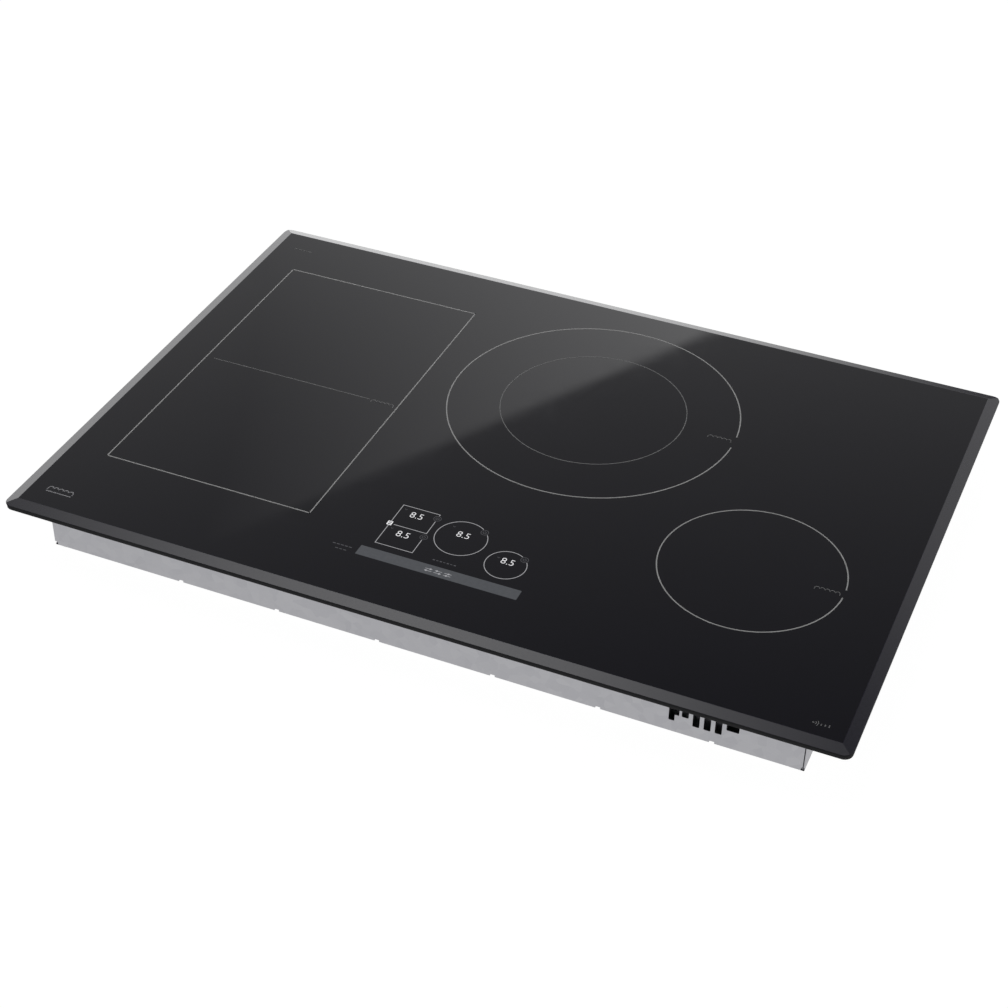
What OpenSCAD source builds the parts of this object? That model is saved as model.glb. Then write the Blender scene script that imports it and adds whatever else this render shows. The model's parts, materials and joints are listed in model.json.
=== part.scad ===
// Electric induction cooktop, 30 inch class, four cooking elements.
// Millimetres. +Z up, +X to the user's right, the user stands at -Y.
// The origin is under the middle of the glass, level with the underside of the burner box.

/* [Glass] */
// Width of the glass plate
glass_w = 781; // [770:1:800]
// Depth of the glass plate
glass_d = 536; // [530:1:550]
// Thickness of the glass plate
glass_t = 4; // [3.6:0.2:5]
// Width of the ground bevel round the glass
bevel_w = 10.6; // [6:0.2:12]
// Height that the bevel falls
bevel_drop = 2.8; // [1:0.2:3]
// Radius of the glass corners
corner_r = 8.5; // [4:0.5:10]

/* [Overall] */
// Height from the underside of the box to the top of the glass
total_h = 48.2; // [47:0.2:56]

/* [Burner box] */
// Width of the sheet steel box
box_w = 704; // [700:1:716]
// Depth of the box
box_d = 490; // [486:1:496]
// Distance from the front edge of the glass back to the box
box_setback = 16.8; // [14:0.2:20]
// Thickness of the sheet steel
sheet_t = 0.8; // [0.6:0.1:1.2]
// Height of the pressed gussets along the bottom bend
gusset_h = 2; // [1.5:0.5:5]

/* [Cooking elements] */
// Width of each half of the bridged element
bridge_coil_w = 190; // [170:1:194]
// Depth of each half of the bridged element
bridge_coil_d = 166; // [140:1:172]
// Outer radius of the large round winding
centre_coil_r = 130; // [120:1:134]
// Outer radius of the winding inside the large one
inner_coil_r = 84; // [70:1:86]
// Outer radius of the right-hand winding
right_coil_r = 76; // [60:1:80]
// Distance between turns of the litz cable
turn_pitch = 5.2; // [5:0.1:6]
// Width of one turn of litz cable
turn_w = 4.2; // [3:0.1:4.6]

/* [Blowers] */
// Distance of each blower from the middle
blower_x = 262; // [255:1:266]
// Distance of the blowers behind the middle
blower_y = 168; // [160:1:172]
// Outer radius of the scroll housing
scroll_r = 50; // [46:1:52]
// Outer radius of the impeller
impeller_r = 38; // [34:1:40]
// Blades on each impeller
blade_count = 30; // [18:1:36]
// Radial running clearance between the shaft and its sleeve bearing
shaft_gap = 0.04; // [0.02:0.01:0.1]

/* [Mounting] */
// Radius of the screw holes for the hold-down brackets
bracket_hole_r = 2.1; // [1.6:0.1:3]
// Distance between the two bracket holes on each side
bracket_pitch = 300; // [200:10:360]
// Radius of the conduit knock-out
conduit_r = 11.1; // [8:0.1:14]

/* [Hidden] */
$fn = 48;
eps = 0.05;

// Levels of the stack, from the glass down
glass_z = total_h - glass_t;
seal_w = 12;
seal_t = 3.8;
seal_inset = 0.5;
adhesive_t = 0.8;
frame_t = 1.2;
frame_z = glass_z - adhesive_t - frame_t;
insulation_t = 2.3;
mica_t = 0.5;
winding_h = 4.6;
winding_z = glass_z - insulation_t - mica_t - 0.3 - winding_h;
carrier_t = 4.5;
carrier_z = winding_z - carrier_t;
ferrite_h = 3;
buffer_h = 1.6;
tray_t = 1.5;
tray_z = carrier_z - buffer_h - tray_t;
board_z = 5;
board_t = 1.6;
board_top = board_z + board_t;

// Box
box_x = box_w / 2;
box_front = -glass_d / 2 + box_setback;
box_back = box_front + box_d;
box_mid_y = (box_front + box_back) / 2;
seam_gap = 0.8;
relief_r = 1.7;
frame_lap = 5;
frame_ring_w = 19;
lip_h = 14;
gusset_x = [-221, -125, -28, 80, 175, 274];
gusset_y = [-190, -70, 60, 180];
gusset_w = 4.4;
side_screw_y = [-180, 0, 170];
back_screw_x = [-280, -20, 240];
screw_z = frame_z - lip_h / 2;
bracket_z = 14;

// Exhaust slots in the front wall
vent_w = 5.8;
vent_pitch = 9.5;
vent_x = 237.7;
vent_low = 12;
vent_high = 18.8;
vent_top = 36;
vent_corner = 1;

// Cooking elements: centre of each coil
bridge_x = -237.5;
bridge_rear_y = 102;
bridge_front_y = -80;
centre_x = 38;
centre_y = 84.5;
right_x = 250;
right_y = -83;

// Boards
board_w = 140;
board_d = 300;
board_x = 190;
board_y = -205;
sink_w = 56;
sink_d = 170;
sink_y = -95;
sink_h = 19;
connector_pitch = 28;
filter_x = -60;
filter_y = 130;
filter_w = 210;
filter_d = 96;
conduit_x = 120;
conduit_z = 20;

// Controls
control_x = 6;
control_y = -166;
control_w = 196;
control_d = 96;
control_z = carrier_z - 1;
control_board_z = glass_z - 6.2;

// Blower levels
lid_z = 2.8;
lid_t = 1.2;
scroll_z = lid_z + lid_t;
scroll_h = 21;
scroll_wall = 1.4;
outlet_w = 58;
outlet_len = 70;
shaft_r = 1.5;

// Basic shapes ------------------------------------------------------------

module rounded_outline(w, d, r) {
    square([w - 2 * r, d], center = true);
    square([w, d - 2 * r], center = true);
    for (sx = [-1, 1], sy = [-1, 1])
        translate([sx * (w / 2 - r), sy * (d / 2 - r)]) circle(r);
}

module plate(w, d, r, h) {
    linear_extrude(h) rounded_outline(w, d, r);
}

module frame_ring(w, d, r, rim, h) {
    linear_extrude(h) difference() {
        rounded_outline(w, d, r);
        rounded_outline(w - 2 * rim, d - 2 * rim, max(r - rim, 1));
    }
}

module tube(r_out, r_in, h) {
    difference() {
        cylinder(r = r_out, h = h);
        translate([0, 0, -eps]) cylinder(r = r_in, h = h + 2 * eps);
    }
}

module box_at(x, y, z, w, d, h) {
    translate([x - w / 2, y - d / 2, z]) cube([w, d, h]);
}

function unit(v) = v / norm(v);

// Round cable through points whose runs are square to each other, with a quarter bend at each corner
module cable(points, r, bend) {
    last = len(points) - 1;
    for (i = [0 : last - 1]) {
        u = unit(points[i + 1] - points[i]);
        start = points[i] + (i == 0 ? 0 : bend) * u;
        run = norm(points[i + 1] - start) - (i == last - 1 ? 0 : bend);
        side = abs(u[2]) > 0.5 ? [1, 0, 0] : [0, 0, 1];
        turn_into(start, side, cross(u, side)) cylinder(r = r, h = run);
    }
    for (i = [1 : last - 1]) {
        u = unit(points[i] - points[i - 1]);
        v = unit(points[i + 1] - points[i]);
        turn_into(points[i] + bend * (v - u), -v, u)
            rotate_extrude(angle = 90) translate([bend, 0]) circle(r);
    }
}

// Places its children at p with their X along x_dir and their Y along y_dir
module turn_into(p, x_dir, y_dir) {
    z_dir = cross(x_dir, y_dir);
    multmatrix([
        [x_dir[0], y_dir[0], z_dir[0], p[0]],
        [x_dir[1], y_dir[1], z_dir[1], p[1]],
        [x_dir[2], y_dir[2], z_dir[2], p[2]],
        [0, 0, 0, 1]
    ]) children();
}

// Glass and its surround --------------------------------------------------

module bevelled_profile(span) {
    polygon([
        [-span / 2, 0], [span / 2, 0],
        [span / 2, glass_t - bevel_drop], [span / 2 - bevel_w, glass_t],
        [bevel_w - span / 2, glass_t], [-span / 2, glass_t - bevel_drop]
    ]);
}

module glass_top() {
    color("#1d1d20")
        translate([0, 0, glass_z])
            intersection() {
                plate(glass_w, glass_d, corner_r, glass_t);
                rotate([90, 0, 0]) linear_extrude(glass_d + 2, center = true) bevelled_profile(glass_w);
                rotate([90, 0, 90]) linear_extrude(glass_w + 2, center = true) bevelled_profile(glass_d);
            }
}

module rim_seal() {
    color("#19191b")
        translate([0, 0, glass_z - seal_t])
            frame_ring(glass_w - 2 * seal_inset, glass_d - 2 * seal_inset, corner_r - seal_inset, seal_w, seal_t);
}

module glass_adhesive() {
    color("#2a2a2c")
        translate([0, box_mid_y, frame_z + frame_t])
            frame_ring(box_w - 8, box_d - 8, 6, 9, adhesive_t);
}

module support_frame() {
    inner_x = box_x - sheet_t;
    color("#b9bcc0") {
        difference() {
            union() {
                translate([0, box_mid_y, frame_z])
                    frame_ring(box_w + 2 * frame_lap, box_d + 6, 6, frame_ring_w, frame_t);
                for (sx = [-1, 1])
                    box_at(sx * (inner_x - frame_t / 2), 0, frame_z - lip_h, frame_t, 400, lip_h + frame_t / 2);
                box_at(0, box_back - sheet_t - frame_t / 2, frame_z - lip_h, 620, frame_t, lip_h + frame_t / 2);
            }
            screw_positions() translate([0, 0, -4]) cylinder(r = 1.75, h = 8);
        }
    }
}

// Burner box --------------------------------------------------------------

// Places its children at each box screw, with +Z pointing out of the box
module screw_positions() {
    for (sx = [-1, 1], y = side_screw_y)
        translate([sx * box_x, y, screw_z]) rotate([0, sx * 90, 0]) children();
    for (x = back_screw_x)
        translate([x, box_back, screw_z]) rotate([-90, 0, 0]) children();
}

// Places its children at each bracket hole, with +Z pointing out of the box
module bracket_positions() {
    for (sx = [-1, 1], sy = [-1, 1])
        translate([sx * box_x, sy * bracket_pitch / 2, bracket_z]) rotate([0, sx * 90, 0]) children();
}

// A wedge along X under a bottom bend, its two legs equal
module wedge(width, leg) {
    translate([-width / 2, 0, 0])
        rotate([90, 0, 90]) linear_extrude(width) polygon([[0, 0], [leg, 0], [0, leg]]);
}

// Places its children at each gusset, with +Y pointing into the box
module gusset_positions() {
    for (x = gusset_x) {
        translate([x, box_front, 0]) children();
        translate([x, box_back, 0]) rotate([0, 0, 180]) children();
    }
    for (y = gusset_y) {
        translate([-box_x, y, 0]) rotate([0, 0, -90]) children();
        translate([box_x, y, 0]) rotate([0, 0, 90]) children();
    }
}

// The first slot steps out at its top, and the last is a wide one
module front_vents() {
    step = 1.5;
    widths = [vent_w - 0.8, vent_w, vent_w, vent_w, vent_w, 2 * vent_w - 1];
    bottoms = [vent_low, vent_high, vent_low, vent_low, vent_low, vent_high];
    for (i = [0 : len(widths) - 1])
        translate([vent_x + i * vent_pitch - (i == 0 ? step : 0), box_front - 1, bottoms[i]])
            round_foot(widths[i], vent_top - bottoms[i]);
    translate([vent_x - step, box_front - 1, vent_high])
        round_foot(vent_w + 2 * step, vent_top - vent_high);
}

// An opening with its two lower corners rounded, cut through the front wall
module round_foot(width, height) {
    thick = 2 * sheet_t + 2;
    translate([0, 0, vent_corner]) cube([width, thick, height - vent_corner]);
    translate([vent_corner, 0, 0]) cube([width - 2 * vent_corner, thick, height]);
    for (x = [vent_corner, width - vent_corner])
        translate([x, 0, vent_corner]) rotate([-90, 0, 0]) cylinder(r = vent_corner, h = thick);
}

// Rows of slots inside a circle, under a blower
module intake_vents(x, y, r) {
    row = 9;
    rows = floor(r / row);
    for (i = [-rows : rows]) {
        half = sqrt(r * r - i * i * row * row);
        if (half > 12)
            for (sx = [-1, 1])
                translate([x + sx * (half + 2) / 2, y + i * row, -1]) slot(half - 4, 4, 3);
    }
}

// A slot with round ends along X
module slot(length, width, h) {
    straight = length - width;
    translate([-straight / 2, -width / 2, 0]) cube([straight, width, h]);
    for (sx = [-1, 1]) translate([sx * straight / 2, 0, 0]) cylinder(r = width / 2, h = h);
}

module floor_bead(x, y, length, width, height) {
    translate([x, y, 0]) slot(length, width, height);
}

bead_rows = [-222, -110, 20];
bead_w = 10;
bead_h = 2;

module burner_box() {
    inner_x = box_x - sheet_t;
    color("#a9abae")
        difference() {
            union() {
                box_at(0, box_mid_y, 0, box_w, box_d, sheet_t);
                // Each wall laps the end of the next one, with an open seam at its own other end
                for (a = [0, 180])
                    translate([0, box_mid_y, 0]) rotate([0, 0, a]) {
                        box_at(-(sheet_t + seam_gap) / 2, -(box_d - sheet_t) / 2, 0,
                            box_w - sheet_t - seam_gap, sheet_t, frame_z);
                        box_at(-box_x + sheet_t / 2, (sheet_t + seam_gap) / 2, 0,
                            sheet_t, box_d - sheet_t - seam_gap, frame_z);
                    }
                gusset_positions() wedge(gusset_w + 2, gusset_h + 2.2);
                for (y = bead_rows) floor_bead(0, y, 560, bead_w, bead_h + sheet_t);
            }
            for (y = bead_rows) translate([0, 0, -eps]) floor_bead(0, y, 558, bead_w - 2, bead_h + eps);
            gusset_positions() translate([0, -eps, -eps]) wedge(gusset_w, gusset_h + eps);
            for (sx = [-1, 1], y = [box_front, box_back]) {
                translate([sx * (inner_x - seam_gap / 2), y, -1]) cylinder(r = relief_r, h = 3);
                translate([sx * (inner_x - seam_gap / 2), y - 2, relief_r]) rotate([-90, 0, 0])
                    cylinder(r = relief_r, h = 4);
            }
            front_vents();
            for (sx = [-1, 1]) intake_vents(sx * blower_x, blower_y, 44);
            for (i = [0 : 7]) translate([-262 + i * 9, -170, -1]) rotate([0, 0, 90]) slot(46, 4, 3);
            screw_positions() translate([0, 0, -2]) cylinder(r = 2, h = 4);
            bracket_positions() translate([0, 0, -2]) cylinder(r = bracket_hole_r, h = 4);
            translate([conduit_x, box_back + 1, conduit_z]) rotate([90, 0, 0])
                cylinder(r = conduit_r + 1.5, h = 3);
        }
}

module conduit_plate() {
    color("#b9bcc0")
        difference() {
            box_at(conduit_x, box_back + 0.75, conduit_z - 16, 62, 1.5, 32);
            translate([conduit_x, box_back + 2, conduit_z]) rotate([90, 0, 0]) cylinder(r = conduit_r, h = 3);
        }
}

module rating_plate() {
    color("#c9cbce") box_at(-150, box_back + 0.15, 8, 90, 0.3, 22);
}

module box_screws() {
    color("#8e9094")
        screw_positions() {
            cylinder(r = 3.6, h = 1.8);
            translate([0, 0, -6]) cylinder(r = 1.7, h = 6 + eps);
        }
}

module bracket_nuts() {
    color("#c2b280")
        bracket_positions() translate([0, 0, -sheet_t - 4]) tube(4, bracket_hole_r, 4);
}

// Coil tray ---------------------------------------------------------------

tray_w = 690;
tray_front = box_front + 8;
tray_back = box_back - 8;
tray_hole = [
    [bridge_x + 60, bridge_rear_y], [bridge_x + 60, bridge_front_y],
    [centre_x + 105, centre_y], [right_x - 62, right_y]
];

module coil_tray() {
    depth = tray_back - tray_front;
    mid = (tray_back + tray_front) / 2;
    flange = 7;
    color("#c7c9cc")
        difference() {
            union() {
                box_at(0, mid, tray_z, tray_w, depth, tray_t);
                for (sx = [-1, 1])
                    box_at(sx * (tray_w - tray_t) / 2, mid, tray_z - flange, tray_t, depth, flange + eps);
            }
            box_at(control_x, control_y - 20, tray_z - 1, control_w + 8, control_d + 48, 4);
            for (p = tray_hole) translate([p[0], p[1], tray_z - 1]) cylinder(r = 9, h = 4);
            for (y = [-150, -30, 90, 190]) translate([-110, y, tray_z - 1]) slot(40, 8, 4);
        }
}

post_xy = [[-334, -238], [-334, -18], [-334, 222], [-120, -238], [120, -238], [-120, 60],
    [334, -238], [334, -18], [334, 222], [170, 60]];

module tray_posts() {
    color("#9fa2a6")
        for (p = post_xy)
            translate([p[0], p[1], sheet_t]) cylinder(r = 3.5, h = tray_z - sheet_t, $fn = 6);
}

// Cooking elements --------------------------------------------------------

round_coils = [[centre_x, centre_y, centre_coil_r], [right_x, right_y, right_coil_r]];
bridge_coils = [[bridge_x, bridge_rear_y], [bridge_x, bridge_front_y]];
coil_corner_r = 34;
sensor_r = 7;

module coil_buffers() {
    color("#b5482f") {
        for (c = bridge_coils, sx = [-1, 1], sy = [-1, 1])
            translate([c[0] + sx * 70, c[1] + sy * 58, tray_z + tray_t]) cylinder(r = 6, h = buffer_h);
        for (c = round_coils, a = [30 : 120 : 270])
            translate([c[0], c[1], tray_z + tray_t])
                rotate([0, 0, a]) translate([c[2] - 14, 0, 0]) cylinder(r = 6, h = buffer_h);
    }
}

// Ferrite bars of one coil, lying radially from r0 to r1
module bar_star(count, r0, r1, width) {
    for (i = [0 : count - 1])
        rotate([0, 0, i * 360 / count]) translate([r0, -width / 2, 0]) cube([r1 - r0, width, ferrite_h]);
}

module bridge_bars() {
    bar_star(8, 24, 74, 12);
}

module centre_bars() {
    bar_star(8, 24, 80, 12);
    bar_star(8, 92, 126, 12);
}

module right_bars() {
    bar_star(6, 22, 72, 12);
}

module ferrite_bars() {
    color("#3b3d42") {
        for (c = bridge_coils) translate([c[0], c[1], carrier_z]) bridge_bars();
        translate([centre_x, centre_y, carrier_z]) centre_bars();
        translate([right_x, right_y, carrier_z]) right_bars();
    }
}

module bridge_carrier(c) {
    color("#d8d2c4")
        translate([c[0], c[1], carrier_z])
            difference() {
                plate(bridge_coil_w + 4, bridge_coil_d + 4, coil_corner_r, carrier_t);
                bridge_bars();
                translate([0, 0, -1]) cylinder(r = sensor_r + 0.4, h = carrier_t + 2);
            }
}

module coil_carrier_left_rear() bridge_carrier(bridge_coils[0]);
module coil_carrier_left_front() bridge_carrier(bridge_coils[1]);

module coil_carrier_centre() {
    color("#d8d2c4")
        translate([centre_x, centre_y, carrier_z])
            difference() {
                tube(centre_coil_r + 2, sensor_r + 0.4, carrier_t);
                centre_bars();
            }
}

module coil_carrier_right() {
    color("#d8d2c4")
        translate([right_x, right_y, carrier_z])
            difference() {
                tube(right_coil_r + 2, sensor_r + 0.4, carrier_t);
                right_bars();
            }
}

module bridge_winding(c) {
    turns = 11;
    color("#a8673a")
        translate([c[0], c[1], winding_z])
            for (i = [0 : turns - 1]) {
                shrink = 2 * i * turn_pitch;
                frame_ring(bridge_coil_w - shrink, bridge_coil_d - shrink,
                    max(coil_corner_r - i * turn_pitch / 2, turn_w + 2), turn_w, winding_h);
            }
}

module round_winding(x, y, r_out, r_in) {
    turns = floor((r_out - r_in) / turn_pitch);
    color("#a8673a")
        translate([x, y, winding_z])
            for (i = [0 : turns - 1]) {
                r = r_out - i * turn_pitch;
                tube(r, r - turn_w, winding_h);
            }
}

module winding_left_rear() bridge_winding(bridge_coils[0]);
module winding_left_front() bridge_winding(bridge_coils[1]);
module winding_centre_outer() round_winding(centre_x, centre_y, centre_coil_r, 91);
module winding_centre_inner() round_winding(centre_x, centre_y, inner_coil_r, 20);
module winding_right() round_winding(right_x, right_y, right_coil_r, 20);

module coil_covers(grow, z, h) {
    for (c = bridge_coils)
        translate([c[0], c[1], z])
            difference() {
                plate(bridge_coil_w + grow, bridge_coil_d + grow, coil_corner_r, h);
                translate([0, 0, -1]) cylinder(r = sensor_r + 1, h = h + 2);
            }
    for (c = round_coils)
        translate([c[0], c[1], z]) tube(c[2] + grow / 2, sensor_r + 1, h);
}

module mica_sheets() {
    color("#c9a978") coil_covers(6, winding_z + winding_h, mica_t);
}

module insulation_pads() {
    color("#e9e6dd") coil_covers(4, winding_z + winding_h + mica_t, insulation_t);
}

module temperature_sensors() {
    bottom = carrier_z + 0.5;
    color("#e6e6e6")
        for (c = concat(bridge_coils, round_coils))
            translate([c[0], c[1], bottom]) {
                cylinder(r = sensor_r, h = carrier_t);
                translate([0, 0, carrier_t - eps]) cylinder(r = 4, h = glass_z - bottom - carrier_t);
            }
}

// Power boards ------------------------------------------------------------

board_holes = [[8, 8], [132, 8], [8, 292], [132, 292], [8, 150], [132, 150]];

// Moves a right-hand power unit into place, or mirrors it to the left
module at_side(side) {
    mirror([side < 0 ? 1 : 0, 0, 0]) translate([board_x, board_y, 0]) children();
}

module power_board(side) {
    color("#2f6b46")
        at_side(side)
            difference() {
                translate([0, 0, board_z]) cube([board_w, board_d, board_t]);
                for (p = board_holes) translate([p[0], p[1], board_z - 1]) cylinder(r = 1.7, h = 4);
            }
}

module power_board_left() power_board(-1);
module power_board_right() power_board(1);

module heat_sink(side) {
    fins = 10;
    fin_w = 1.6;
    base_h = 4;
    color("#b4b7bb")
        at_side(side)
            translate([44, sink_y - board_y, board_top]) {
                cube([sink_w, sink_d, base_h]);
                for (i = [0 : fins - 1])
                    translate([i * (sink_w - fin_w) / (fins - 1), 0, base_h - eps])
                        cube([fin_w, sink_d, sink_h - base_h]);
            }
}

module heat_sink_left() heat_sink(-1);
module heat_sink_right() heat_sink(1);

module power_transistors() {
    color("#242424")
        for (side = [-1, 1])
            at_side(side)
                for (i = [0 : 3])
                    translate([38.9, 124 + i * 34, board_top + 1]) cube([5, 16, 15]);
}

module bridge_rectifiers() {
    color("#2b2b2b")
        for (side = [-1, 1])
            at_side(side) translate([38.9, 250, board_top + 1]) cube([5, 24, 16]);
}

module resonant_capacitors() {
    color("#d9d4c3")
        for (side = [-1, 1])
            at_side(side)
                for (i = [0 : 2])
                    translate([8, 30 + i * 26, board_top]) cube([32, 20, 20]);
}

module dc_chokes() {
    color("#c08a3a")
        for (side = [-1, 1])
            at_side(side)
                for (y = [28, 70])
                    translate([118, y, board_top + 7])
                        rotate_extrude() translate([11, 0]) circle(6, $fn = 32);
}

module coil_connectors() {
    color("#efe9dc")
        for (side = [-1, 1])
            at_side(side)
                for (i = [0 : 3])
                    translate([8, 110 + i * connector_pitch, board_top]) cube([18, 12, 9]);
}

// Open-ended plastic duct over a heat sink
module air_duct(side) {
    wall = 1.4;
    color("#3a3c40")
        at_side(side)
            translate([44 - 2 - wall + 0.4, sink_y - board_y - 8, board_top + 0.2])
                difference() {
                    cube([sink_w + 4 + 2 * wall, sink_d + 8, sink_h + 1.4]);
                    translate([wall, -1, -1]) cube([sink_w + 4, sink_d + 10, sink_h + 1]);
                    translate([-1, 18, -1]) cube([wall + 2, sink_d - 12, sink_h]);
                }
}

module air_duct_left() air_duct(-1);
module air_duct_right() air_duct(1);

module board_standoffs() {
    h = board_z - sheet_t;
    color("#d0c48a") {
        for (side = [-1, 1])
            at_side(side)
                for (p = board_holes) translate([p[0], p[1], sheet_t]) cylinder(r = 3, h = h, $fn = 6);
        for (x = [filter_x + 8, filter_x + filter_w - 8], y = [filter_y + 8, filter_y + filter_d - 8])
            translate([x, y, sheet_t]) cylinder(r = 3, h = h, $fn = 6);
    }
}

// Blowers -----------------------------------------------------------------

module at_blower(side) {
    mirror([side < 0 ? 1 : 0, 0, 0]) translate([blower_x, blower_y, 0]) children();
}

module scroll_outline(wall) {
    circle(scroll_r - wall, $fn = 96);
    translate([-scroll_r + wall, -outlet_len - wall]) square([outlet_w - 2 * wall, outlet_len + wall]);
}

module blower_housing(side) {
    color("#2e3033")
        at_blower(side)
            translate([0, 0, scroll_z]) {
                linear_extrude(scroll_h - scroll_wall)
                    difference() {
                        scroll_outline(0);
                        scroll_outline(scroll_wall);
                    }
                translate([0, 0, scroll_h - scroll_wall])
                    linear_extrude(scroll_wall)
                        difference() {
                            scroll_outline(0);
                            for (a = [45 : 90 : 315]) rotate(a) translate([15, 0]) circle(1.6);
                        }
            }
}

module blower_housing_left() blower_housing(-1);
module blower_housing_right() blower_housing(1);

module blower_lid(side) {
    color("#383a3e")
        at_blower(side)
            translate([0, 0, lid_z])
                linear_extrude(lid_t)
                    difference() {
                        scroll_outline(0);
                        circle(31, $fn = 96);
                    }
}

module blower_lid_left() blower_lid(-1);
module blower_lid_right() blower_lid(1);

module blower_motor(side) {
    top = scroll_z + scroll_h - scroll_wall;
    color("#7c6f52")
        at_blower(side) {
            translate([0, 0, top - 1.2]) cylinder(r = 20, h = 1.2);
            translate([0, 0, top - 13]) tube(3.6, shaft_r + shaft_gap, 11.8 + eps);
            translate([0, 0, top - 10])
                difference() {
                    linear_extrude(6.5) {
                        circle(6.4);
                        for (a = [0 : 90 : 270]) rotate(a) {
                            translate([0, -2]) square([12, 4]);
                            intersection() {
                                circle(14.4);
                                translate([11.8, -7]) square([3, 14]);
                            }
                        }
                    }
                    translate([0, 0, -1]) cylinder(r = 3.2, h = 9);
                }
        }
}

module blower_motor_left() blower_motor(-1);
module blower_motor_right() blower_motor(1);

module impeller(side) {
    cup_z = 8;
    back_z = 19.8;
    color("#55585e")
        at_blower(side) {
            translate([0, 0, cup_z]) cylinder(r = 19.5, h = 1.2);
            translate([0, 0, cup_z + 1.2 - eps]) tube(19.5, 17, back_z - cup_z);
            translate([0, 0, back_z]) tube(impeller_r, 19, 1.2);
            translate([0, 0, cup_z + 1]) cylinder(r = shaft_r, h = 12.5);
            translate([0, 0, 5.6]) tube(impeller_r, impeller_r - 2, 1.4);
            translate([0, 0, 5.6])
                linear_extrude(back_z - 5.5)
                    intersection() {
                        circle(impeller_r - 0.3, $fn = 96);
                        for (i = [0 : blade_count - 1])
                            rotate(i * 360 / blade_count)
                                translate([29, 0]) rotate(side * 32) translate([0, -0.45]) square([13, 0.9]);
                    }
        }
}

module impeller_left() impeller(-1);
module impeller_right() impeller(1);

// Supply side -------------------------------------------------------------

module filter_board() {
    color("#2f6b46")
        difference() {
            translate([filter_x, filter_y, board_z]) cube([filter_w, filter_d, board_t]);
            for (x = [filter_x + 8, filter_x + filter_w - 8], y = [filter_y + 8, filter_y + filter_d - 8])
                translate([x, y, board_z - 1]) cylinder(r = 1.7, h = 4);
        }
}

module line_choke() {
    color("#c08a3a")
        for (x = [-22, 26])
            translate([x, 186, board_top + 8])
                rotate_extrude() translate([14, 0]) circle(7, $fn = 32);
}

module line_capacitors() {
    color("#cfcabb")
        for (i = [0 : 3])
            translate([-46 + i * 26, 138, board_top]) cube([20, 16, 18]);
}

module relays() {
    color("#2c4f7c")
        for (i = [0 : 3])
            translate([62 + i * 20, 138, board_top]) cube([15, 28, 16]);
}

module terminal_block() {
    color("#e2ddd0")
        difference() {
            translate([74, 184, board_top]) cube([66, 30, 18]);
            for (i = [0 : 3]) {
                translate([77 + i * 15.5, 197, board_top + 8]) cube([13, 18, 11]);
                translate([83.5 + i * 15.5, 190, board_top + 8]) cylinder(r = 2.4, h = 11);
            }
        }
}

// Controls ----------------------------------------------------------------

digit_xy = [[-44, -135], [-44, -164], [4.5, -143], [54.7, -160.7]];

module control_tray() {
    wall = 1.8;
    color("#1f2023")
        translate([control_x, control_y, control_z])
            difference() {
                plate(control_w, control_d, 4, glass_z - control_z - 0.2);
                translate([0, 0, wall]) plate(control_w - 2 * wall, control_d - 2 * wall, 2.5, 30);
                translate([-12, 30, -1]) cube([24, 3, 4]);
                for (sx = [-1, 1]) translate([sx * 84, -38, -1]) cylinder(r = 1.7, h = 4);
            }
}

module touch_board() {
    color("#1e4d33")
        difference() {
            box_at(control_x, control_y, control_board_z, control_w - 6, control_d - 6, board_t);
            for (sx = [-1, 1])
                translate([control_x + sx * 84, control_y - 38, control_board_z - 1]) cylinder(r = 1.7, h = 4);
        }
}

module digit_displays() {
    color("#e8e8e8")
        for (p = digit_xy) box_at(p[0], p[1], control_board_z + board_t, 17, 11, 3.2);
}

module settings_light_guide() {
    color("#f0f0ee") box_at(control_x - 1, -198, control_board_z + board_t, 150, 13, 3.2);
}

module display_film() {
    color("#33343a")
        translate([control_x, control_y, glass_z - 1]) plate(control_w - 12, control_d - 8, 3, 0.8);
}

module wireless_module() {
    color("#b8bcc2") {
        box_at(control_x + 70, control_y + 26, control_board_z - 2.6, 24, 16, 2.6);
        box_at(control_x + 70, control_y + 14, control_board_z - 1, 24, 8 + eps, 1);
    }
}

module ribbon_cable() {
    top = tray_z - 3;
    t = 0.9;
    start = control_y + 31.5;
    finish = filter_y + 3;
    color("#d7d9dc") {
        box_at(control_x, start, top, 20, t, control_board_z - top);
        box_at(control_x, (start + finish) / 2, top - t, 20, finish - start + t, t);
        box_at(control_x, finish, board_top, 20, t, top - board_top);
    }
}

// Pairs of leads from each element down to its power board
module coil_leads() {
    dip = tray_z - 5;
    connector_x = board_x + 17;
    connector_y = [for (i = [0 : 3]) board_y + 116 + i * connector_pitch];
    ends = [
        [-connector_x, connector_y[3]], [-connector_x, connector_y[1]],
        [connector_x, connector_y[3]], [connector_x, connector_y[1]]
    ];
    color("#b23a2e")
        for (i = [0 : 3], d = [-2.4, 2.4]) {
            p = tray_hole[i] + [d, 0];
            e = ends[i] + [d, 0];
            via = e[1] + d;
            cable([[p[0], p[1], carrier_z], [p[0], p[1], dip + d], [p[0], via, dip + d], [e[0], via, dip + d],
                [e[0], via, board_top + 9]], 1.9, 4);
        }
}

// One line for each node --------------------------------------------------

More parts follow.
